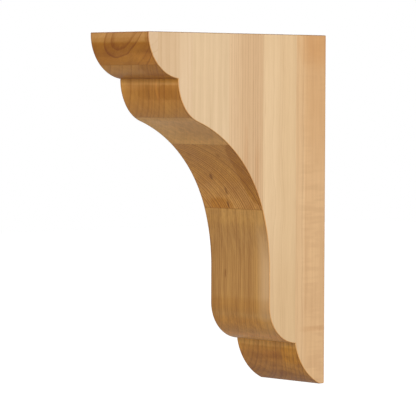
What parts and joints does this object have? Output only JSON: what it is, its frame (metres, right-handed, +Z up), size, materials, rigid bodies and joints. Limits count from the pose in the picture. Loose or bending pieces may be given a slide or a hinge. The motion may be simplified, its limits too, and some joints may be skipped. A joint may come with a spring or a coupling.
{
  "type": "wooden corbel bracket",
  "caption": "Glued-up wooden corbel with a lobed top, a deep cove, a rounded belly and a small foot, fixed flat to a wall to carry a shelf or worktop.",
  "frame": {"origin": "centre of the flat back face that lies on the wall", "axes": "+Y into the wall, out of the flat back face; +Z up to the shelf face; +X along the wall, across the corbel's width"},
  "size_m": [0.0762, 0.2032, 0.3048],
  "materials": {
    "front_strip_wood": "pale hardwood with a looped flat-sawn figure, deeper golden brown where it is shaped, thin satin clear coat",
    "lip_board_wood": "pale straw hardwood with straight streaks, thin satin clear coat",
    "shoulder_board_wood": "pale straw hardwood with a fine even grain, thin satin clear coat",
    "cove_board_wood": "slightly pink hardwood with fine reddish streaks and close rings, thin satin clear coat",
    "belly_board_wood": "pale straw hardwood with straight grain and small dark flecks, thin satin clear coat",
    "wall_board_wood": "warm tan hardwood with a cross-banded ripple figure, thin satin clear coat"
  },
  "bodies": {
    "root": {"front_strip": "front_strip_wood", "lip_board": "lip_board_wood", "shoulder_board": "shoulder_board_wood", "cove_board": "cove_board_wood", "belly_board": "belly_board_wood", "wall_board": "wall_board_wood"}
  },
  "joints": []
}
